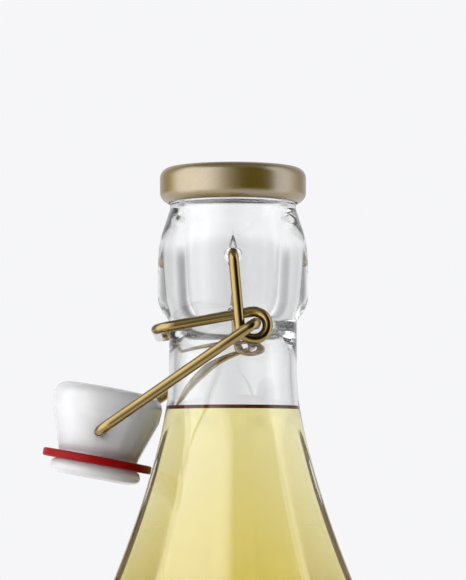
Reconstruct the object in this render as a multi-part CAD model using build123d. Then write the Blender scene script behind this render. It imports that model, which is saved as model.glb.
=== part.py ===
from build123d import *
import math
import os

# ---------------------------------------------------------------------------
# Swing-top growler: faceted clear-glass bottle, wire lever with coil eyes,
# wire bail carrying a glazed stopper, and a gold screw cap on the mouth.
# Millimetres. Z up, origin on the axis at the standing ring.
# The closure's front side faces -Y; the stopper hangs on the -X side.
# ---------------------------------------------------------------------------

# ---- driving dimensions ---------------------------------------------------
HEIGHT = 312.0            # standing ring to top of cap
FLATS = 10                # facets round the body
BODY_APOTHEM = 62.0       # axis to a flat, on the straight body
EDGE_RATIO_TOP = 1.043    # rounded edge radius / apothem, on the upper cone
EDGE_RATIO_BODY = 1.0464  # the same on the straight body
HEEL_R = 8.0              # radius where the side turns into the base
STAND_RING_R = 50.0       # radius of the middle of the standing ring
PUNT_DEPTH = 4.5          # height of the hollow under the base
BASE_THICK = 5.5          # glass at the middle of the base
WALL = 2.5                # glass thickness on the body

LIP_DEPTH = 1.8           # lip below top of cap
LIP_BORE_R = 13.2         # bore at the lip
FINISH_BORE_R = 12.2      # narrowest bore, inside the finish

THREAD_PITCH = 4.2        # one turn lifts the cap this much
THREAD_ROOT_R = 16.2      # glass under the thread
THREAD_CREST_R = 17.45    # top of the glass thread
THREAD_START_DEPTH = 7.8  # middle of the glass thread where it starts, lowest

CAP_R = 20.0
CAP_HEIGHT = 9.7
CAP_WALL = 0.35
CAP_TOP_FILLET = 2.9
CAP_TAPER_H = 2.9
HEM_R = 17.65             # inner radius of the rolled hem
INSERT_BORE_R = 17.6
INSERT_TOP = 0.6
LINER_R = 17.2
LINER_T = 0.8

WIRE_D = 2.8
SOCKET_DEPTH_Z = 25.0     # socket centre below top of cap
SOCKET_R = 1.5
SOCKET_RIM_R = 2.5
SOCKET_FLOOR_Y = 17.8

COIL_DX, COIL_DZ = 5.5, -19.37      # coil centre from the socket
COIL_R = 3.7                        # mean radius of the coil
LEVER_ARM_Y = 25.2
LEVER_LEG_Y = 22.3
LEVER_BAR_DX, LEVER_BAR_DZ = -20.5, -20.2
LEVER_CORNER_R = 5.0

HOOK_DX, HOOK_DZ = 6.05, -18.87     # bail hook pin from the socket
HOOK_TIP_Y = 19.0
BAIL_EYE_Y = 28.5
BAIL_KNEE = 10.0                    # the arm runs straight this far from the eye
BAIL_BAR_Y = 24.6
BAIL_CORNER_R = 4.0
BAR_DX, BAR_DZ = -35.6, -47.5       # bar through the stopper, from the socket

STOPPER_TILT = 10.5                 # degrees, top leaning towards +X
STOPPER_HOLE_V = 7.6                # hole above the middle of the gasket
STOPPER_HOLE_R = 1.55
GASKET_R = 14.95
GASKET_T = 2.2
GROOVE_R = 10.7
KNOB_R = 12.45

# ---- outline tables: (depth below the top of the cap, radius) --------------
# finish and neck, round all the way
FINISH = [(9.7, 17.27), (11.1, 17.27), (12.7, 17.66), (14.9, 18.36),
          (17.05, 19.12), (19.2, 19.70), (21.4, 20.10), (23.6, 20.34),
          (25.8, 20.48), (28.6, 20.54)]
UNDERCUT = [(35.2, 20.54), (36.6, 20.38), (37.7, 20.08), (38.8, 19.58),
            (39.9, 18.90), (41.0, 18.10), (42.0, 17.55), (43.4, 17.41)]
NECK_END = 55.0
# facet apothem from the top of the facets to the start of the straight body
FACET = [(55.0, 18.50), (60.0, 18.45), (66.0, 18.55), (70.0, 19.00),
         (77.4, 20.58), (86.1, 22.95), (94.8, 25.70), (103.5, 28.75),
         (112.0, 32.00), (122.0, 36.15), (134.0, 41.60), (146.0, 47.30),
         (158.0, 52.70), (170.0, 57.10), (182.0, 60.10), (194.0, 61.60),
         (206.0, BODY_APOTHEM)]
# rounded edges: round neck first, then a little inside the sharp corner
EDGE = [(55.0, 17.41), (60.0, 17.66), (66.0, 18.30), (70.0, 19.25),
        (77.4, 21.35)]
EDGE += [(d, r * (EDGE_RATIO_TOP + (EDGE_RATIO_BODY - EDGE_RATIO_TOP)
                  * (d - 77.4) / (206.0 - 77.4))) for d, r in FACET if d > 80]


def z_of(depth):
    return HEIGHT - depth


def outline(pts, t0=(0, -1), t1=(0, -1)):
    """Smooth curve in the XZ plane through (depth, radius) points, downwards."""
    return Spline([(r, 0, z_of(d)) for d, r in pts],
                  tangents=[(t0[0], 0, t0[1]), (t1[0], 0, t1[1])])


def line(a, b):
    return Line((a[0], 0, a[1]), (b[0], 0, b[1]))


def xz_face(edges):
    return make_face(Wire(edges))


# ---- bottle: faceted body ---------------------------------------------------
def faceted(edge_pts, facet_pts, bottom, heel, end_t=(0, -1)):
    """Solid below the neck: a turned body cut by five pairs of flats."""
    z_top = z_of(edge_pts[0][0])
    z_sh = z_of(edge_pts[-1][0])
    re, rf = edge_pts[-1][1], facet_pts[-1][1]

    def half(pts, r):
        c = outline(pts)
        straight = line((r, z_sh), (r, bottom + heel))
        k = heel * (1 - math.sqrt(0.5))
        arc = ThreePointArc((r, 0, bottom + heel), (r - k, 0, bottom + k),
                            (r - heel, 0, bottom))
        return c, straight, arc

    c, s, a = half(edge_pts, re)
    turned = revolve(xz_face([
        line((0, z_top), (edge_pts[0][1], z_top)), c, s, a,
        line((re - heel, bottom), (0, bottom)),
        line((0, bottom), (0, z_top))]), Axis.Z, 360)
    c, s, a = half(facet_pts, rf)
    flat = xz_face([
        line((0, z_top), (facet_pts[0][1], z_top)), c, s, a,
        line((rf - heel, bottom), (0, bottom)),
        line((0, bottom), (0, z_top))])
    slab = extrude(flat, 80, dir=(0, 1, 0), both=True)
    slab = slab + mirror(slab, Plane.YZ)
    body = turned
    for k in range(FLATS // 2):
        body = body & slab.rotate(Axis.Z, k * 360 / FLATS)
    return body


outer_low = faceted(EDGE, FACET, 0.0, HEEL_R)

inner_facet = [(d, r - (1.9 if d < 67 else min(WALL, 1.9 + (d - 67) * 0.03)))
               for d, r in FACET]
inner_edge = []
for (d, re), (_, ri) in zip(EDGE, inner_facet):
    w = 1.9 if d < 67 else min(WALL, 1.9 + (d - 67) * 0.03)
    inner_edge.append((d, min(re - w, ri * 1.040) if d > 70 else re - w))
INNER_FLOOR = PUNT_DEPTH + BASE_THICK
inner_low = faceted(inner_edge, inner_facet, INNER_FLOOR, HEEL_R + 2)

# ---- bottle: lip, thread land, finish and neck, all turned ------------------
lip_z = z_of(LIP_DEPTH)
f0, f1 = FINISH[0], FINISH[-1]
u0, u1 = UNDERCUT[0], UNDERCUT[-1]
neck_r = EDGE[0][1]
LIP_ROUND = 1.0
outer_edges = [
    line((0, lip_z), (THREAD_ROOT_R - LIP_ROUND, lip_z)),
    ThreePointArc((THREAD_ROOT_R - LIP_ROUND, 0, lip_z),
                  (THREAD_ROOT_R - LIP_ROUND * (1 - math.sqrt(0.5)), 0,
                   lip_z - LIP_ROUND * (1 - math.sqrt(0.5))),
                  (THREAD_ROOT_R, 0, lip_z - LIP_ROUND)),
    line((THREAD_ROOT_R, lip_z - LIP_ROUND), (THREAD_ROOT_R, z_of(9.0))),
    line((THREAD_ROOT_R, z_of(9.0)), (f0[1], z_of(f0[0]))),
    line((f0[1], z_of(f0[0])), (FINISH[1][1], z_of(FINISH[1][0]))),
    outline(FINISH[1:]),
    line((f1[1], z_of(f1[0])), (u0[1], z_of(u0[0]))),
    outline(UNDERCUT),
    line((u1[1], z_of(u1[0])), (neck_r, z_of(NECK_END))),
    line((neck_r, z_of(NECK_END)), (0, z_of(NECK_END))),
    line((0, z_of(NECK_END)), (0, lip_z)),
]
outer_top = revolve(xz_face(outer_edges), Axis.Z, 360)

BORE = [(LIP_DEPTH, LIP_BORE_R), (6.0, 13.3), (12.0, 13.4), (17.0, 13.2),
        (23.0, 12.9), (30.0, 12.55), (36.0, FINISH_BORE_R), (40.0, 12.4), (44.0, 13.7),
        (48.5, 15.1), (NECK_END, neck_r - 1.9)]
bore_edges = [
    line((0, lip_z), (LIP_BORE_R, lip_z)),
    outline(BORE),
    line((BORE[-1][1], z_of(NECK_END)), (0, z_of(NECK_END))),
    line((0, z_of(NECK_END)), (0, lip_z)),
]
inner_top = revolve(xz_face(bore_edges), Axis.Z, 360)

# punt: a shallow dome pressed up from below, leaving a flat standing ring
punt_r = STAND_RING_R - 2.0
dome_R = (punt_r ** 2 + PUNT_DEPTH ** 2) / (2 * PUNT_DEPTH)
punt = Pos(0, 0, PUNT_DEPTH - dome_R) * Sphere(dome_R)

outer = outer_low + outer_top
inner = inner_low + inner_top
fill_litres = inner.volume / 1e6
bottle = outer - inner - punt

# screw thread on the land under the cap
helix = Helix(pitch=THREAD_PITCH, height=THREAD_PITCH, radius=THREAD_ROOT_R)
ridge_pts = [(THREAD_ROOT_R - 0.3, -1.0), (THREAD_ROOT_R, -0.95),
             (THREAD_CREST_R, -0.5), (THREAD_CREST_R, 0.5),
             (THREAD_ROOT_R, 0.95), (THREAD_ROOT_R - 0.3, 1.0)]
ridge = sweep(make_face(Polyline([(r, 0, z) for r, z in ridge_pts], close=True)),
              path=helix, is_frenet=True)
bottle = bottle + Pos(0, 0, z_of(THREAD_START_DEPTH)) * ridge

# wire sockets front and back, each with a rim and a lead-in groove above it
sock_z = z_of(SOCKET_DEPTH_Z)
for side in (-1, 1):
    hole = Pos(0, side * (SOCKET_FLOOR_Y + 5), sock_z) * Rot(90, 0, 0) * \
        Cylinder(SOCKET_R, 10)
    rim = Pos(0, side * 20.7, sock_z) * Rot(side * -90, 0, 0) * \
        Cone(bottom_radius=SOCKET_R, top_radius=SOCKET_RIM_R + 0.45, height=1.9)
    lead = Pos(0, side * 20.2, sock_z + 3.4) * Rot(side * 8.9, 0, 0) * Cone(
        bottom_radius=1.65, top_radius=0.05, height=4.8)
    bottle = bottle - hole - rim - lead

# ---- cap ---------------------------------------------------------------------
top, bot = HEIGHT, HEIGHT - CAP_HEIGHT
tap = bot + CAP_TAPER_H
Ro, Ri = CAP_R, CAP_R - CAP_WALL
fo, fi = CAP_TOP_FILLET, CAP_TOP_FILLET - CAP_WALL
k45 = 1 - math.sqrt(0.5)
shell = revolve(xz_face([
    line((0, top), (Ro - fo, top)),
    ThreePointArc((Ro - fo, 0, top), (Ro - fo * k45, 0, top - fo * k45),
                  (Ro, 0, top - fo)),
    line((Ro, top - fo), (Ro, tap)),
    ThreePointArc((Ro, 0, tap), (Ro - 0.62, 0, tap - 1.72),
                  (Ro - 1.95, 0, bot + 0.15)),
    ThreePointArc((Ro - 1.95, 0, bot + 0.15), (Ro - 2.13, 0, bot + 0.02),
                  (HEM_R, 0, bot + 0.16)),
    line((HEM_R, bot + 0.16), (HEM_R, bot + 0.5)),
    line((HEM_R, bot + 0.5), (Ro - 2.12, bot + 0.5)),
    ThreePointArc((Ro - 2.12, 0, bot + 0.5), (Ri - 0.62, 0, tap - 1.62),
                  (Ri, 0, tap)),
    line((Ri, tap), (Ri, top - fo)),
    ThreePointArc((Ri, 0, top - fo), (Ri - fi * k45, 0, top - CAP_WALL - fi * k45),
                  (Ri - fi, 0, top - CAP_WALL)),
    line((Ri - fi, top - CAP_WALL), (0, top - CAP_WALL)),
    line((0, top - CAP_WALL), (0, top)),
]), Axis.Z, 360)

in_top = top - CAP_WALL
in_bot = bot + 0.62
Rx = Ri - 0.05
insert = revolve(xz_face([
    line((0, in_top), (Rx - fi, in_top)),
    ThreePointArc((Rx - fi, 0, in_top), (Rx - fi * k45, 0, in_top - fi * k45),
                  (Rx, 0, in_top - fi)),
    line((Rx, in_top - fi), (Rx, tap + 0.1)),
    line((Rx, tap + 0.1), (Rx - 0.55, tap - 1.35)),
    line((Rx - 0.55, tap - 1.35), (Rx - 1.6, in_bot)),
    line((Rx - 1.6, in_bot), (INSERT_BORE_R, in_bot)),
    line((INSERT_BORE_R, in_bot), (INSERT_BORE_R, in_top - INSERT_TOP)),
    line((INSERT_BORE_R, in_top - INSERT_TOP), (0, in_top - INSERT_TOP)),
    line((0, in_top - INSERT_TOP), (0, in_top)),
]), Axis.Z, 360)
INSERT_CREST_R = 16.4
in_ridge_pts = [(INSERT_BORE_R + 0.3, -0.95), (INSERT_BORE_R, -0.9),
                (INSERT_CREST_R, -0.45), (INSERT_CREST_R, 0.45),
                (INSERT_BORE_R, 0.9), (INSERT_BORE_R + 0.3, 0.95)]
in_helix = Helix(pitch=THREAD_PITCH, height=THREAD_PITCH, radius=INSERT_BORE_R)
in_ridge = sweep(make_face(Polyline([(r, 0, z) for r, z in in_ridge_pts], close=True)),
                 path=in_helix, is_frenet=True)
# the insert's ridge runs in the glass thread's gap, half a pitch away from it
FEMALE_START_DEPTH = 8.2
half_pitch_turn = 360 * ((THREAD_START_DEPTH - FEMALE_START_DEPTH)
                         / THREAD_PITCH + 0.5)
in_ridge = Pos(0, 0, z_of(FEMALE_START_DEPTH)) * Rot(0, 0, half_pitch_turn) * in_ridge
insert = insert + in_ridge

liner_top = in_top - INSERT_TOP
liner = Pos(0, 0, liner_top - LINER_T / 2) * Cylinder(LINER_R, LINER_T)

# ---- wires ---------------------------------------------------------------------
P = Vector(0, 0, sock_z)


def tube(points, radii):
    path = FilletPolyline(*points, radius=radii)
    w = path.wire() if hasattr(path, "wire") else path
    plane = Plane(origin=w @ 0, z_dir=w % 0)
    return sweep(plane * Circle(WIRE_D / 2), path=w)


def at(dx, y, dz):
    return (dx, y, sock_z + dz)


# tangent point where the arm from the socket meets the coil's left side
cd = math.hypot(COIL_DX, COIL_DZ)
base_ang = math.degrees(math.atan2(-COIL_DZ, -COIL_DX))      # coil centre to socket
a_start = base_ang + math.degrees(math.acos(COIL_R / cd))    # left tangent point
# tangent point where the leg leaves the coil towards the bar
bx, bz = LEVER_BAR_DX - COIL_DX, LEVER_BAR_DZ - COIL_DZ
bd = math.hypot(bx, bz)
a_end = math.degrees(math.atan2(bz, bx)) - math.degrees(math.acos(COIL_R / bd))
while a_end < a_start + 180:
    a_end += 360
sweep_ang = a_end - a_start
N = 7
step = sweep_ang / N
# corner points of the polygon round the coil; its first and last edges are
# the arm's and the leg's own lines
rc_out = COIL_R / math.cos(math.radians(step / 2))
coil = []
for i in range(N):
    a = math.radians(a_start + step * (i + 0.5))
    f = i / (N - 1)
    y = LEVER_ARM_Y + (LEVER_LEG_Y - LEVER_ARM_Y) * f
    coil.append((COIL_DX + rc_out * math.cos(a), y, COIL_DZ + rc_out * math.sin(a)))


def side_points(s):
    pts = [at(0, s * (SOCKET_FLOOR_Y + 0.3), 0), at(0, s * LEVER_ARM_Y, 0)]
    pts += [at(x, s * y, z) for x, y, z in coil]
    pts += [at(LEVER_BAR_DX, s * LEVER_LEG_Y, LEVER_BAR_DZ)]
    return pts


front = side_points(-1)
back = side_points(1)[::-1]
lever_pts = front + back
ARM_CORNER_R = 3.0
coil_radii = [COIL_R * 0.97] * N
radii = [ARM_CORNER_R] + coil_radii + [LEVER_CORNER_R, LEVER_CORNER_R] + \
    coil_radii + [ARM_CORNER_R]
lever = tube(lever_pts, radii)

ex, ez = HOOK_DX, HOOK_DZ
sx, sz = BAR_DX, BAR_DZ
ed = math.hypot(sx - ex, sz - ez)
kx, kz = ex + (sx - ex) * BAIL_KNEE / ed, ez + (sz - ez) * BAIL_KNEE / ed
bail_pts = [at(ex, -HOOK_TIP_Y, ez), at(ex, -BAIL_EYE_Y, ez),
            at(kx, -BAIL_EYE_Y, kz), at(sx, -BAIL_BAR_Y, sz),
            at(sx, BAIL_BAR_Y, sz), at(kx, BAIL_EYE_Y, kz),
            at(ex, BAIL_EYE_Y, ez), at(ex, HOOK_TIP_Y, ez)]
bail = tube(bail_pts, [2.6, 30.0, BAIL_CORNER_R, BAIL_CORNER_R, 30.0, 2.6])

# ---- stopper ---------------------------------------------------------------------
# profile in the stopper's own frame: v along its axis from the gasket's middle
tilt = Pos(sx, 0, sock_z + sz) * Rot(0, STOPPER_TILT, 0) * Pos(0, 0, -STOPPER_HOLE_V)


def ln(a, b):
    return Line((a[0], 0, a[1]), (b[0], 0, b[1]))


g = GASKET_T / 2
st_edges = [
    ThreePointArc((0, 0, 20.3), (5.8, 0, 20.2), (11.5, 0, 19.9)),
    ThreePointArc((11.5, 0, 19.9), (14.0, 0, 18.65), (15.0, 0, 15.9)),
    ln((15.0, 15.9), (14.75, 12.9)),
    ln((14.75, 12.9), (10.95, g + 0.5)),
    ln((10.95, g + 0.5), (GROOVE_R + 0.25, g)),
    ln((GROOVE_R + 0.25, g), (GROOVE_R, g)),
    ln((GROOVE_R, g), (GROOVE_R, -g)),
    ThreePointArc((GROOVE_R, 0, -g), (KNOB_R, 0, -2.95), (GROOVE_R + 0.2, 0, -4.6)),
    ln((GROOVE_R + 0.2, -4.6), (9.6, -5.0)),
    ln((9.6, -5.0), (0, -5.0)),
    ln((0, -5.0), (0, 20.3)),
]
stopper = revolve(make_face(Wire(st_edges)), Axis.Z, 360)
stopper = stopper - Pos(0, 0, STOPPER_HOLE_V) * Rot(90, 0, 0) * Cylinder(STOPPER_HOLE_R, 60)
stopper = tilt * stopper

gasket = Cylinder(GASKET_R, GASKET_T) - Cylinder(GROOVE_R, GASKET_T + 2)
gasket = fillet(gasket.edges().filter_by(GeomType.CIRCLE).group_by(
    SortBy.RADIUS)[-1], 0.5)
gasket = tilt * gasket

# ---- write -----------------------------------------------------------------------
NODES = {
    "bottle": bottle, "cap_shell": shell, "cap_insert": insert, "cap_liner": liner,
    "lever_wire": lever, "stopper_bail": bail, "stopper": stopper,
    "stopper_gasket": gasket,
}


def main():
    os.makedirs("parts", exist_ok=True)
    for name, shape in NODES.items():
        shape.label = name
        export_step(shape, f"parts/{name}.step")
    print("brimful litres", round(fill_litres, 4))
    print("coil from", round(a_start, 1), "sweep", round(sweep_ang, 1))


if __name__ == "__main__":
    main()
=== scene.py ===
import bpy
import math
import numpy as np
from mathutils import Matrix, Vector


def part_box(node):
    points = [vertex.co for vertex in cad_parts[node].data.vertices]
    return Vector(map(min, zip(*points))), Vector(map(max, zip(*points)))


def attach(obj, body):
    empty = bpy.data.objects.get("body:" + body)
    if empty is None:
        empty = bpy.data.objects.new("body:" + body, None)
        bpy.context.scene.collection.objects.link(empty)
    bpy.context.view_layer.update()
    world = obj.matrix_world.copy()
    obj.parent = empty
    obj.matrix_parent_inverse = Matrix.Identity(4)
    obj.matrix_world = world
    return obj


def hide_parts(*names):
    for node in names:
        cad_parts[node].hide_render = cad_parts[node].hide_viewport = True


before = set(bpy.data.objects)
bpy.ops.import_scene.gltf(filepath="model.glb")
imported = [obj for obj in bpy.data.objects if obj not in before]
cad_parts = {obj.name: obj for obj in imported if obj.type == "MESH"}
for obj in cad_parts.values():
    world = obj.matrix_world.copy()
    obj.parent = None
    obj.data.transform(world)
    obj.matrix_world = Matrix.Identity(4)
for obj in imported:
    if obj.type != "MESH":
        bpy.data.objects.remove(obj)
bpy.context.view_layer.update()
MM = 0.001
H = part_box("cap_shell")[1].z / MM            # top of the cap, mm

# ---------------------------------------------------------------------------
# materials
# ---------------------------------------------------------------------------


def new_mat(name):
    m = bpy.data.materials.new(name)
    m.use_nodes = True
    nt = m.node_tree
    for n in list(nt.nodes):
        nt.nodes.remove(n)
    out = nt.nodes.new("ShaderNodeOutputMaterial")
    bs = nt.nodes.new("ShaderNodeBsdfPrincipled")
    nt.links.new(bs.outputs["BSDF"], out.inputs["Surface"])
    return m, nt, bs, out


def coords(nt, scale=(1, 1, 1), rot=(0, 0, 0)):
    tc = nt.nodes.new("ShaderNodeTexCoord")
    mp = nt.nodes.new("ShaderNodeMapping")
    mp.inputs["Scale"].default_value = scale
    mp.inputs["Rotation"].default_value = rot
    nt.links.new(tc.outputs["Object"], mp.inputs["Vector"])
    return mp.outputs["Vector"]


def noise(nt, vec, scale, detail=4.0, rough=0.5, dist=0.0):
    n = nt.nodes.new("ShaderNodeTexNoise")
    n.inputs["Scale"].default_value = scale
    n.inputs["Detail"].default_value = detail
    n.inputs["Roughness"].default_value = rough
    n.inputs["Distortion"].default_value = dist
    nt.links.new(vec, n.inputs["Vector"])
    return n.outputs["Fac"]


def ramp(nt, fac, stops):
    r = nt.nodes.new("ShaderNodeValToRGB")
    e = r.color_ramp.elements
    while len(e) > 1:
        e.remove(e[-1])
    e[0].position, e[0].color = stops[0][0], (*stops[0][1], 1)
    for p, c in stops[1:]:
        k = e.new(p)
        k.color = (*c, 1)
    nt.links.new(fac, r.inputs["Fac"])
    return r.outputs["Color"]


def remap(nt, fac, lo, hi, a=0.3, b=0.7):
    m = nt.nodes.new("ShaderNodeMapRange")
    m.inputs["From Min"].default_value = a
    m.inputs["From Max"].default_value = b
    m.inputs["To Min"].default_value = lo
    m.inputs["To Max"].default_value = hi
    nt.links.new(fac, m.inputs["Value"])
    return m.outputs["Result"]


def bump(nt, height, strength, dist, bs):
    b = nt.nodes.new("ShaderNodeBump")
    b.inputs["Strength"].default_value = strength
    b.inputs["Distance"].default_value = dist
    nt.links.new(height, b.inputs["Height"])
    nt.links.new(b.outputs["Normal"], bs.inputs["Normal"])
    return b


def glass_material(name="clear_glass_detail", lo=(0.985, 0.992, 0.990),
                   hi=(0.995, 0.998, 0.997)):
    m, nt, bs, out = new_mat(name)
    bs.inputs["Transmission Weight"].default_value = 1.0
    bs.inputs["IOR"].default_value = 1.5
    bs.inputs["Roughness"].default_value = 0.0
    v = coords(nt)
    n = noise(nt, v, 70.0, 2.0, 0.5)
    col = ramp(nt, n, [(0.0, lo), (1.0, hi)])
    nt.links.new(col, bs.inputs["Base Color"])
    v2 = coords(nt, (1, 1, 0.35))
    w = noise(nt, v2, 60.0, 1.0, 0.4)
    bump(nt, w, 0.05, 0.0006, bs)
    va = nt.nodes.new("ShaderNodeVolumeAbsorption")
    va.inputs["Color"].default_value = (0.20, 0.21, 0.21, 1)
    va.inputs["Density"].default_value = 10.0
    nt.links.new(va.outputs["Volume"], out.inputs["Volume"])
    return m


def drink_material():
    m, nt, bs, out = new_mat("pale_drink")
    bs.inputs["Transmission Weight"].default_value = 1.0
    bs.inputs["IOR"].default_value = 1.345
    bs.inputs["Roughness"].default_value = 0.0
    v = coords(nt)
    n = noise(nt, v, 30.0, 2.0)
    col = ramp(nt, n, [(0.0, (0.985, 0.98, 0.95)), (1.0, (1.0, 0.995, 0.975))])
    nt.links.new(col, bs.inputs["Base Color"])
    va = nt.nodes.new("ShaderNodeVolumeAbsorption")
    va.inputs["Color"].default_value = (0.90, 0.80, 0.05, 1)
    va.inputs["Density"].default_value = 31.0
    nt.links.new(va.outputs["Volume"], out.inputs["Volume"])
    return m


def painted_rim_reflection_material():
    m, nt, bs, out = new_mat("drink_rim_painted_reflection")
    bs.inputs["Transmission Weight"].default_value = 0.35
    bs.inputs["IOR"].default_value = 1.345
    bs.inputs["Roughness"].default_value = 0.08
    n = noise(nt, coords(nt), 90.0, 3.0)
    # dark red base colour on the meniscus edge: a painted reflection of the deep drink
    nt.links.new(ramp(nt, n, [(0.3, (0.20, 0.010, 0.006)), (0.7, (0.30, 0.022, 0.012))]),
                 bs.inputs["Base Color"])
    va = nt.nodes.new("ShaderNodeVolumeAbsorption")
    va.inputs["Color"].default_value = (0.90, 0.80, 0.05, 1)
    va.inputs["Density"].default_value = 33.0
    nt.links.new(va.outputs["Volume"], out.inputs["Volume"])
    return m


def gold_material(name, base_lo, base_hi, rough, coat_ior, coat_rough, grain, fine):
    m, nt, bs, out = new_mat(name)
    bs.inputs["Metallic"].default_value = 1.0
    bs.inputs["Coat Weight"].default_value = 1.0
    bs.inputs["Coat Roughness"].default_value = coat_rough
    bs.inputs["Coat IOR"].default_value = coat_ior
    bs.inputs["Specular Tint"].default_value = (0.45, 0.31, 0.08, 1)   # darker rims
    v = coords(nt, grain)
    n = noise(nt, v, fine, 5.0, 0.6)
    big = noise(nt, coords(nt), 160.0, 3.0, 0.5)
    nt.links.new(ramp(nt, big, [(0.3, base_lo), (0.7, base_hi)]),
                 bs.inputs["Base Color"])
    nt.links.new(remap(nt, n, rough * 0.85, rough * 1.2), bs.inputs["Roughness"])
    bump(nt, n, 0.12, 0.00002, bs)
    return m


def stopper_material():
    m, nt, bs, out = new_mat("white_glaze_detail")
    bs.inputs["Roughness"].default_value = 0.11
    bs.inputs["IOR"].default_value = 1.52
    bs.inputs["Coat Weight"].default_value = 0.2
    bs.inputs["Coat Roughness"].default_value = 0.04
    bs.inputs["Subsurface Weight"].default_value = 0.8
    bs.inputs["Subsurface Radius"].default_value = (1.0, 1.0, 1.0)
    bs.inputs["Subsurface Scale"].default_value = 0.012
    v = coords(nt)
    n = noise(nt, v, 220.0, 4.0, 0.55)
    speck = noise(nt, v, 1500.0, 2.0, 0.5)
    col = ramp(nt, n, [(0.25, (0.67, 0.67, 0.675)), (0.75, (0.72, 0.72, 0.72))])
    mix = nt.nodes.new("ShaderNodeMixRGB")
    mix.blend_type = "MULTIPLY"
    mix.inputs["Fac"].default_value = 1.0
    sp = ramp(nt, speck, [(0.20, (0.80, 0.79, 0.77)), (0.27, (1, 1, 1))])
    nt.links.new(col, mix.inputs["Color1"])
    nt.links.new(sp, mix.inputs["Color2"])
    nt.links.new(mix.outputs["Color"], bs.inputs["Base Color"])
    bump(nt, noise(nt, v, 260.0, 2.0, 0.5), 0.10, 0.0002, bs)
    return m


def rubber_material():
    m, nt, bs, out = new_mat("red_rubber_detail")
    bs.inputs["Specular IOR Level"].default_value = 0.14
    v = coords(nt)
    n = noise(nt, v, 350.0, 4.0, 0.6)
    nt.links.new(ramp(nt, n, [(0.3, (0.25, 0.001, 0.001)), (0.7, (0.34, 0.002, 0.002))]),
                 bs.inputs["Base Color"])
    nt.links.new(remap(nt, n, 0.36, 0.52), bs.inputs["Roughness"])
    bump(nt, noise(nt, v, 1800.0, 3.0, 0.6), 0.25, 0.00004, bs)
    return m


def plastic_material(name, a, b, rough):
    m, nt, bs, out = new_mat(name)
    v = coords(nt)
    n = noise(nt, v, 400.0, 3.0, 0.5)
    nt.links.new(ramp(nt, n, [(0.3, a), (0.7, b)]), bs.inputs["Base Color"])
    nt.links.new(remap(nt, n, rough * 0.9, rough * 1.1), bs.inputs["Roughness"])
    bump(nt, noise(nt, v, 2500.0, 2.0, 0.5), 0.15, 0.00003, bs)
    return m


GLASS = glass_material()
# near-black base colour for the lead-in groove's steep sides: painted shade, not the glass's
# own tint
GLASS_PAINTED_SHADE = glass_material("glass_painted_shade", (0.03, 0.03, 0.03), (0.05, 0.05, 0.05))
DRINK = drink_material()
DRINK_RIM_PAINTED_REFLECTION = painted_rim_reflection_material()
CAP = gold_material("satin_gold_cap", (0.235, 0.150, 0.005), (0.265, 0.170, 0.007),
                    0.60, 2.55, 0.24, (1, 1, 1), 2600.0)
WIRE = gold_material("gold_wire_detail", (0.23, 0.145, 0.005), (0.29, 0.185, 0.008),
                     0.17, 1.85, 0.06, (1, 1, 1), 1800.0)
GLAZE = stopper_material()
RUBBER = rubber_material()
INSERT = plastic_material("cap_plastic_detail", (0.80, 0.80, 0.78), (0.86, 0.86, 0.84), 0.45)
LINER = plastic_material("liner_foam_detail", (0.84, 0.84, 0.83), (0.90, 0.90, 0.89), 0.6)

# ---------------------------------------------------------------------------
# bottle outline, mm: (depth below the top of the cap, radius)
# ---------------------------------------------------------------------------
BODY_APOTHEM = 62.0
EDGE_TOP, EDGE_BODY = 1.043, 1.0464
HEEL_R = 8.0
LIP_DEPTH = 1.8
ROOT_R, CREST_R, PITCH, THREAD_START = 16.2, 17.45, 4.2, 7.8
SOCKET_DEPTH = 25.0
FINISH = [(9.7, 17.27), (11.1, 17.27), (12.7, 17.66), (14.9, 18.36),
          (17.05, 19.12), (19.2, 19.70), (21.4, 20.10), (23.6, 20.34),
          (25.8, 20.48), (28.6, 20.54)]
UNDERCUT = [(35.2, 20.54), (36.6, 20.38), (37.7, 20.08), (38.8, 19.58),
            (39.9, 18.90), (41.0, 18.10), (42.0, 17.55), (43.4, 17.41)]
FACET = [(55.0, 18.50), (60.0, 18.45), (66.0, 18.55), (70.0, 19.00),
         (77.4, 20.58), (86.1, 22.95), (94.8, 25.70), (103.5, 28.75),
         (112.0, 32.00), (122.0, 36.15), (134.0, 41.60), (146.0, 47.30),
         (158.0, 52.70), (170.0, 57.10), (182.0, 60.10), (194.0, 61.60),
         (206.0, BODY_APOTHEM)]
EDGE = [(55.0, 17.41), (60.0, 17.66), (66.0, 18.30), (70.0, 19.25), (77.4, 21.35)]
EDGE += [(d, r * (EDGE_TOP + (EDGE_BODY - EDGE_TOP) * (d - 77.4) / (206.0 - 77.4)))
         for d, r in FACET if d > 80]
BORE = [(LIP_DEPTH, 13.2), (6.0, 13.3), (12.0, 13.4), (17.0, 13.2), (23.0, 12.9),
        (30.0, 12.55), (36.0, 12.2), (40.0, 12.4), (44.0, 13.7), (48.5, 15.1),
        (55.0, 15.51)]
WALL_LIST = [(1.9 if d < 67 else min(2.5, 1.9 + (d - 67) * 0.03)) for d, _ in FACET]
IN_FACET = [(d, r - w) for (d, r), w in zip(FACET, WALL_LIST)]
IN_EDGE = []
for (d, re), (_, ri), w in zip(EDGE, IN_FACET, WALL_LIST):
    IN_EDGE.append((d, min(re - w, ri * 1.040) if d > 70 else re - w))
PUNT, BASE_THICK, STAND_R = 4.5, 5.5, 50.0
FLOOR_IN = PUNT + BASE_THICK
DRINK_DEPTH = 66.4


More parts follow.
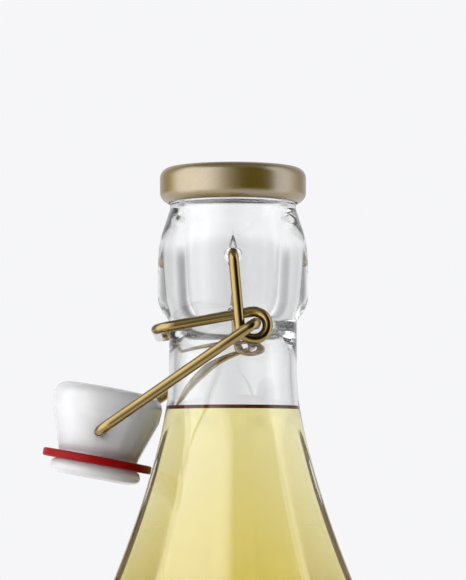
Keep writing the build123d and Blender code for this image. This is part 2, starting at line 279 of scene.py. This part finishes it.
def spline(pts):
    """Cubic through (x, y) points, level at both ends."""
    x = np.array([p[0] for p in pts], float)
    y = np.array([p[1] for p in pts], float)
    n = len(x)
    h = np.diff(x)
    a = np.zeros((n, n))
    b = np.zeros(n)
    a[0, 0] = a[-1, -1] = 1.0                 # end slopes are zero
    for i in range(1, n - 1):
        a[i, i - 1] = h[i]
        a[i, i] = 2 * (h[i - 1] + h[i])
        a[i, i + 1] = h[i - 1]
        b[i] = 3 * (h[i] * (y[i] - y[i - 1]) / h[i - 1]
                    + h[i - 1] * (y[i + 1] - y[i]) / h[i])
    m = np.linalg.solve(a, b)

    def f(q):
        q = np.clip(np.asarray(q, float), x[0], x[-1])
        i = np.clip(np.searchsorted(x, q) - 1, 0, n - 2)
        t = (q - x[i]) / h[i]
        return ((2 * t ** 3 - 3 * t ** 2 + 1) * y[i] + (t ** 3 - 2 * t ** 2 + t) * h[i] * m[i]
                + (-2 * t ** 3 + 3 * t ** 2) * y[i + 1] + (t ** 3 - t ** 2) * h[i] * m[i + 1])
    return f


f_fin, f_und = spline(FINISH[1:]), spline(UNDERCUT)
f_edge, f_facet = spline(EDGE), spline(FACET)
f_ied, f_ifa = spline(IN_EDGE), spline(IN_FACET)
f_bore = spline(BORE)
BIG = 1e6


def seq(a, b, step):
    n = max(1, int(round(abs(b - a) / step)))
    return [a + (b - a) * i / n for i in range(n)]


# ---- columns: angles round the axis, finer at the ten edges and the sockets --
def column_angles():
    out = set()
    for k in range(10):
        c = -90 + 36 * k
        fine = [0, 0.35, 0.7, 1.05, 1.4, 1.75, 2.1, 2.5, 3.0, 3.8, 5.0]
        for q in fine:
            out.add(round(c + q, 4))
            out.add(round(c - q, 4))
        for q in np.arange(6.5, 30, 1.5):
            out.add(round(c + float(q), 4))
    for c in (-90, 90):
        for q in np.arange(-8.5, 8.51, 0.3):
            out.add(round(c + float(q), 4))
    a = sorted({round(v % 360, 4) for v in out})
    keep = [a[0]]
    for v in a[1:]:
        if v - keep[-1] > 0.2:
            keep.append(v)
    return np.radians(np.array(keep))


ANG = column_angles()
PHI = (ANG - np.radians(-90 + 18)) % np.radians(36)
PHI = np.minimum(PHI, np.radians(36) - PHI)         # from the middle of a facet
COSPHI = np.cos(PHI)


def smin(a, b, k):
    h = np.clip(k - np.abs(a - b), 0, None) / k
    return np.minimum(a, b) - h * h * k * 0.25


def ring(re, rf, k=0.15):
    return smin(np.full_like(COSPHI, re), rf / COSPHI, k)


def thread_height(depth):
    """Glass thread over the land, for one ring at this depth."""
    out = np.zeros_like(ANG)
    for turn in (-1, 0, 1):
        t = ANG / (2 * math.pi) + turn
        mid = THREAD_START - PITCH * t
        end = np.minimum(np.clip(t / 0.04, 0, 1), np.clip((1 - t) / 0.04, 0, 1))
        ok = (t >= 0) & (t <= 1)
        d = np.abs(depth - mid)
        prof = np.clip((0.95 - d) / 0.45, 0, 1)
        prof = prof * prof * (3 - 2 * prof)
        out = np.maximum(out, np.where(ok, prof * end, 0))
    return out * (CREST_R - ROOT_R)


def socket_depth(depth, r):
    """How far the wire sockets and lead-in grooves cut into the finish."""
    x = r * np.cos(ANG)
    dz = SOCKET_DEPTH - depth
    rho = np.hypot(x, dz)
    near = np.abs(np.sin(ANG)) > 0.9
    s = np.clip((1.74 - np.hypot(x * 0.87, dz)) / 0.20, 0, 1)
    hole = 2.7 * s * s * (3 - 2 * s)
    q = np.clip((2.62 - rho) / 1.05, 0, 1)
    rim = 1.10 * q ** 1.3
    t = (dz - 1.3) / 3.9
    if 0 <= t < 1:
        w = 1.32 * (1 - t) ** 0.85
        side = np.clip((w - np.abs(x)) / 0.52, 0, 1)
        soft = np.clip((w - np.abs(x)) / 1.3, 0, 1)
        lead = np.where(np.sin(ANG) < 0, 1.5 * side, 0.45 * soft * soft * (3 - 2 * soft))
        lead = lead * np.clip((1 - t) / 0.10, 0, 1)
    else:
        lead = 0.0
    return np.where(near, np.maximum(np.maximum(hole, rim), lead), 0.0)


def bottle_rows():
    rows = []                       # (z, radius per column)
    # under the base, from the middle out
    dome_R = ((STAND_R - 2) ** 2 + PUNT ** 2) / (2 * PUNT)
    for r in (0.6, 3, 7, 12, 18, 24, 30, 36, 41, 44.5, 46.5):
        z = PUNT - dome_R + math.sqrt(dome_R ** 2 - r * r)
        rows.append((z, np.full_like(ANG, float(r))))
    rows.append((0.16, np.full_like(ANG, 47.6)))
    rows.append((0.02, np.full_like(ANG, 48.6)))
    re, rf = EDGE[-1][1], FACET[-1][1]
    rows.append((0.0, ring(re - HEEL_R - 3.5, rf - HEEL_R - 1.9, 2.0)))
    rows.append((0.02, ring(re - HEEL_R - 0.8, rf - HEEL_R - 0.6, 1.0)))
    for i in range(1, 17):
        a = math.radians(90 * i / 16)
        ins = HEEL_R * (1 - math.sin(a))
        rows.append((HEEL_R * (1 - math.cos(a)), ring(re - ins, rf - ins, 0.25)))
    for d in seq(H - HEEL_R - 2, 206.0, 3.0):
        rows.append((H - d, ring(re, rf)))
    for d in seq(206.0, 112.0, 1.6):
        rows.append((H - d, ring(float(f_edge(d)), float(f_facet(d)))))
    for d in seq(112.0, 62.0, 0.9):
        rows.append((H - d, ring(float(f_edge(d)), float(f_facet(d)))))
    for d in seq(62.0, 55.0, 1.2):
        rows.append((H - d, ring(float(f_edge(d)), BIG)))
    for d in seq(55.0, 43.4, 1.5):
        rows.append((H - d, ring(17.41, BIG)))
    for d in seq(43.4, 35.2, 0.25):
        rows.append((H - d, ring(float(f_und(d)), BIG)))
    for d in seq(35.2, 28.8, 0.9):
        rows.append((H - d, ring(20.54, BIG)))
    for d in seq(28.8, 18.6, 0.13):
        r = float(f_fin(d))
        rows.append((H - d, ring(r, BIG) - socket_depth(d, r)))
    for d in seq(18.6, 11.1, 0.4):
        rows.append((H - d, ring(float(f_fin(d)), BIG)))
    for d in seq(11.1, 9.75, 0.45):
        rows.append((H - d, ring(17.27, BIG)))
    for d in seq(9.75, 9.0, 0.15):
        t = (d - 9.0) / 0.75
        t = t * t * (3 - 2 * t)
        rows.append((H - d, np.maximum(ring(ROOT_R + (17.27 - ROOT_R) * t, BIG),
                                       ROOT_R + thread_height(d))))
    for d in seq(9.0, LIP_DEPTH + 1.0, 0.15):
        rows.append((H - d, ROOT_R + thread_height(d)))
    # lip, rounded outside and inside
    for i in range(0, 9):
        a = math.radians(90 * i / 8)
        rows.append((H - LIP_DEPTH - 1.0 + math.sin(a),
                     np.full_like(ANG, ROOT_R - 1.0 + math.cos(a))))
    for i in range(0, 9):
        a = math.radians(90 * i / 8)
        rows.append((H - LIP_DEPTH - 0.8 + 0.8 * math.cos(a),
                     np.full_like(ANG, 13.18 + 0.8 - 0.8 * math.sin(a))))
    for d in seq(LIP_DEPTH + 1.2, 36.0, 1.1):
        rows.append((H - d, np.full_like(ANG, float(f_bore(d)))))
    for d in seq(36.0, 55.0, 0.45):
        rows.append((H - d, np.full_like(ANG, float(f_bore(d)))))
    rows += inner_rows(55.0)
    return rows


def inner_rows(d0, grow=0.0):
    """Inside wall from this depth down to the middle of the inside floor."""
    rows = []
    re, rf = IN_EDGE[-1][1] + grow, IN_FACET[-1][1] + grow
    for d in seq(d0, 112.0, 0.9):
        rows.append((H - d, ring(float(f_ied(d)) + grow, float(f_ifa(d)) + grow, 0.6)))
    for d in seq(112.0, 206.0, 1.6):
        rows.append((H - d, ring(float(f_ied(d)) + grow, float(f_ifa(d)) + grow, 0.9)))
    heel = HEEL_R + 2
    floor = FLOOR_IN - grow
    for d in seq(206.0, H - floor - heel, 3.0):
        rows.append((H - d, ring(re, rf, 0.9)))
    for i in range(0, 17):
        a = math.radians(90 * i / 16)
        ins = heel * (1 - math.cos(a))
        rows.append((floor + heel * (1 - math.sin(a)), ring(re - ins, rf - ins, 1.2)))
    for r in (46, 40, 33, 26, 19, 12, 6, 0.6):
        rows.append((floor, np.full_like(ANG, float(r))))
    return rows


def skin(name, rows, ends=True):
    """Closed surface through rings of (z, radius per column), in metres."""
    n = len(ANG)
    c, s = np.cos(ANG), np.sin(ANG)
    pts = []
    for z, r in rows:
        pts.append(np.stack([r * c, r * s, np.full(n, z)], 1))
    v = np.concatenate(pts) * MM
    faces = []
    idx = np.arange(n)
    nxt = (idx + 1) % n
    for i in range(len(rows) - 1):
        a, b = i * n, (i + 1) * n
        faces.append(np.stack([a + idx, a + nxt, b + nxt, b + idx], 1))
    faces = np.concatenate(faces).tolist()
    v = v.tolist()
    if ends:
        k = len(v)
        v.append((0, 0, rows[0][0] * MM))
        faces += [(k, int(nxt[j]), int(idx[j])) for j in range(n)]
        k = len(v)
        base = (len(rows) - 1) * n
        v.append((0, 0, rows[-1][0] * MM))
        faces += [(k, base + int(idx[j]), base + int(nxt[j])) for j in range(n)]
    me = bpy.data.meshes.new(name)
    me.from_pydata(v, [], faces)
    me.validate()
    me.update()
    o = bpy.data.objects.new(name, me)
    bpy.context.scene.collection.objects.link(o)
    me.polygons.foreach_set("use_smooth", [True] * len(me.polygons))
    return o


bottle = skin("bottle_glass", bottle_rows())
bottle.data.materials.append(GLASS)
bottle.data.materials.append(GLASS_PAINTED_SHADE)
for poly in bottle.data.polygons:
    c = poly.center / MM
    up = c.z - (H - SOCKET_DEPTH)
    if c.y < -17 and 1.5 < up < 5.4 and abs(c.x) < 1.5 and abs(poly.normal.x) > 0.72:
        poly.material_index = 1                     # steep sides of the lead-in, tinted near-black as painted shade
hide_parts("bottle")
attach(bottle, "bottle")


def drink_rows():
    grow = 0.14
    rows = []
    wall = float(f_ied(DRINK_DEPTH)) + grow
    top = []
    for r in (0.6, 3, 6, 9, 11, 12.5, 13.5, 14.2, 14.8, 15.3, 15.7, 16.0, 16.2):
        if r < wall - 0.12:
            top.append(r)
    top.append(wall - 0.02)
    for r in top:
        rise = 1.15 * math.exp(-(wall - r) / 1.15)
        rows.append((H - DRINK_DEPTH + rise, np.full_like(ANG, float(r))))
    rows += inner_rows(DRINK_DEPTH - 1.0, grow)
    return rows[::-1]


drink = skin("drink", drink_rows())
drink.data.materials.append(DRINK)
drink.data.materials.append(DRINK_RIM_PAINTED_REFLECTION)
painted_reflection_z = (H - DRINK_DEPTH + 0.28) * MM
for poly in drink.data.polygons:
    if poly.center.z > painted_reflection_z:
        poly.material_index = 1                     # the raised edge at the glass, tinted dark red as a painted reflection of the deep drink
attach(drink, "bottle")

# ---------------------------------------------------------------------------
# CAD pieces whose shape is right keep it and get their materials
# ---------------------------------------------------------------------------
for node, mat in (("cap_shell", CAP), ("cap_insert", INSERT), ("cap_liner", LINER),
                  ("lever_wire", WIRE), ("stopper_bail", WIRE), ("stopper", GLAZE),
                  ("stopper_gasket", RUBBER)):
    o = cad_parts[node]
    for s in o.material_slots:
        s.material = mat

# ---------------------------------------------------------------------------
# stage: pale floor, studio surroundings, camera
# ---------------------------------------------------------------------------
me = bpy.data.meshes.new("floor")
fn = 96
FLOOR_R = 1.6
fv = [(0, 0, 0)] + [(FLOOR_R * math.cos(2 * math.pi * i / fn),
                     FLOOR_R * math.sin(2 * math.pi * i / fn), 0) for i in range(fn)]
me.from_pydata(fv, [], [(0, 1 + i, 1 + (i + 1) % fn) for i in range(fn)])
floor = bpy.data.objects.new("floor", me)
bpy.context.scene.collection.objects.link(floor)
fm, fnt, fbs, fout = new_mat("floor_paper")
fbs.inputs["Roughness"].default_value = 0.9
fnt.links.new(ramp(fnt, noise(fnt, coords(fnt), 3.0, 2.0),
                   [(0.0, (0.47, 0.47, 0.48)), (1.0, (0.50, 0.50, 0.51))]),
              fbs.inputs["Base Color"])
fbs.inputs["Emission Color"].default_value = (1.0, 1.0, 1.012, 1)   # lit from beneath
fbs.inputs["Emission Strength"].default_value = 0.60
# the paper thins out towards its rim, so no edge shows against the surroundings
vec = fnt.nodes.new("ShaderNodeTexCoord")
ln_ = fnt.nodes.new("ShaderNodeVectorMath")
ln_.operation = "LENGTH"
fnt.links.new(vec.outputs["Object"], ln_.inputs[0])
fade = fnt.nodes.new("ShaderNodeMapRange")
fade.interpolation_type = "SMOOTHSTEP"
fade.inputs["From Min"].default_value = 0.25
fade.inputs["From Max"].default_value = 0.75
fade.inputs["To Min"].default_value = 1.0
fade.inputs["To Max"].default_value = 0.0
fnt.links.new(ln_.outputs["Value"], fade.inputs["Value"])
fnt.links.new(fade.outputs["Result"], fbs.inputs["Alpha"])
me.materials.append(fm)

world = bpy.data.worlds.new("studio")
bpy.context.scene.world = world
world.use_nodes = True
wn = world.node_tree
for n in list(wn.nodes):
    wn.nodes.remove(n)
wout = wn.nodes.new("ShaderNodeOutputWorld")


def wmath(op, a, b=None, c=None):
    n = wn.nodes.new("ShaderNodeMath")
    n.operation = op
    for i, q in enumerate((a, b, c)):
        if q is None:
            continue
        if isinstance(q, (int, float)):
            n.inputs[i].default_value = q
        else:
            wn.links.new(q, n.inputs[i])
    return n.outputs[0]


tc = wn.nodes.new("ShaderNodeTexCoord")
sep = wn.nodes.new("ShaderNodeSeparateXYZ")
wn.links.new(tc.outputs["Generated"], sep.inputs[0])
X, Y, Z = sep.outputs
az = wmath("ARCTAN2", X, wmath("MULTIPLY", Y, -1.0))    # 0 faces -Y, + towards +X
t_az = wmath("MULTIPLY_ADD", az, 1 / (2 * math.pi), 0.5)
AZ_STOPS = [(-180, 0.33), (-152, 0.33), (-138, 0.20), (-128, 0.13), (-118, 0.14),
            (-108, 0.40), (-96, 0.90), (-42, 0.95), (-26, 0.64), (-14, 0.30),
            (0, 0.11), (12, 0.035), (22, 0.006), (50, 0.006), (62, 0.07),
            (74, 0.66), (98, 0.66), (110, 0.40), (118, 0.26), (128, 0.21),
            (138, 0.21), (152, 0.33), (180, 0.33)]
AZ_SCALE = 2.4
r1 = wn.nodes.new("ShaderNodeValToRGB")
e = r1.color_ramp.elements
while len(e) > 1:
    e.remove(e[-1])
e[0].position = (AZ_STOPS[0][0] + 180) / 360
e[0].color = (AZ_STOPS[0][1],) * 3 + (1,)
for p, cval in AZ_STOPS[1:]:
    k = e.new((p + 180) / 360)
    k.color = (cval,) * 3 + (1,)
wn.links.new(t_az, r1.inputs["Fac"])
side = wmath("MULTIPLY", r1.outputs["Color"], AZ_SCALE)
# soft boxes end above and below; overhead is an even pale ceiling
el = wmath("ARCSINE", Z)
mr = wn.nodes.new("ShaderNodeMapRange")
mr.interpolation_type = "SMOOTHSTEP"
for k, q in (("From Min", math.radians(44)), ("From Max", math.radians(62)),
             ("To Min", 0.0), ("To Max", 1.0)):
    mr.inputs[k].default_value = q
wn.links.new(el, mr.inputs["Value"])
up = mr.outputs["Result"]
CEIL = 0.22
level = wmath("ADD", wmath("MULTIPLY", side, wmath("SUBTRACT", 1.0, up)),
              wmath("MULTIPLY", up, CEIL))
# below the horizon behind the bottle the paper sweep is brighter
low = wn.nodes.new("ShaderNodeMapRange")
low.interpolation_type = "SMOOTHSTEP"
for k, q in (("From Min", math.radians(-3)), ("From Max", math.radians(-10)),
             ("To Min", 0.0), ("To Max", 1.0)):
    low.inputs[k].default_value = q
wn.links.new(el, low.inputs["Value"])
back = wn.nodes.new("ShaderNodeMapRange")
back.interpolation_type = "SMOOTHSTEP"
for k, q in (("From Min", math.radians(98)), ("From Max", math.radians(116)),
             ("To Min", 0.0), ("To Max", 1.0)):
    back.inputs[k].default_value = q
wn.links.new(wmath("ABSOLUTE", az), back.inputs["Value"])
lowback = wmath("MULTIPLY", low.outputs["Result"], back.outputs["Result"])
SWEEP = 1.0
level = wmath("ADD", wmath("MULTIPLY", level, wmath("SUBTRACT", 1.0, lowback)),
              wmath("MULTIPLY", lowback, SWEEP))
# soft light returned from the paper below
fill = wn.nodes.new("ShaderNodeMapRange")
fill.interpolation_type = "SMOOTHSTEP"
for k, q in (("From Min", math.radians(-12)), ("From Max", math.radians(-28)),
             ("To Min", 0.0), ("To Max", 0.28)):
    fill.inputs[k].default_value = q
wn.links.new(el, fill.inputs["Value"])
level = wmath("MAXIMUM", level, fill.outputs["Result"])
comb = wn.nodes.new("ShaderNodeCombineXYZ")
for i, k in enumerate((1.0, 1.0, 1.012)):
    wn.links.new(wmath("MULTIPLY", level, k), comb.inputs[i])
bg_env = wn.nodes.new("ShaderNodeBackground")
wn.links.new(comb.outputs[0], bg_env.inputs["Color"])
bg_cam = wn.nodes.new("ShaderNodeBackground")
bg_cam.inputs["Color"].default_value = (0.922, 0.922, 0.940, 1)
lp = wn.nodes.new("ShaderNodeLightPath")
mx = wn.nodes.new("ShaderNodeMixShader")
wn.links.new(lp.outputs["Is Camera Ray"], mx.inputs["Fac"])
wn.links.new(bg_env.outputs[0], mx.inputs[1])
wn.links.new(bg_cam.outputs[0], mx.inputs[2])
wn.links.new(mx.outputs[0], wout.inputs["Surface"])

cam_data = bpy.data.cameras.new("camera")
cam = bpy.data.objects.new("camera", cam_data)
bpy.context.scene.collection.objects.link(cam)
cam_data.sensor_width = 36.0
cam_data.lens = 205.0
cam.location = (0.0, -0.900, (H - 93.5) * MM)
cam.rotation_euler = (math.radians(90 + 3.82), 0, 0)
cam_data.clip_start, cam_data.clip_end = 0.05, 60
bpy.context.scene.camera = cam

sc = bpy.context.scene
sc.view_settings.view_transform = "Standard"
sc.view_settings.look = "None"
sc.view_settings.exposure = 0.0
sc.view_settings.gamma = 1.0
sc.cycles.max_bounces = 24
sc.cycles.transmission_bounces = 24
sc.cycles.glossy_bounces = 24
sc.cycles.transparent_max_bounces = 16
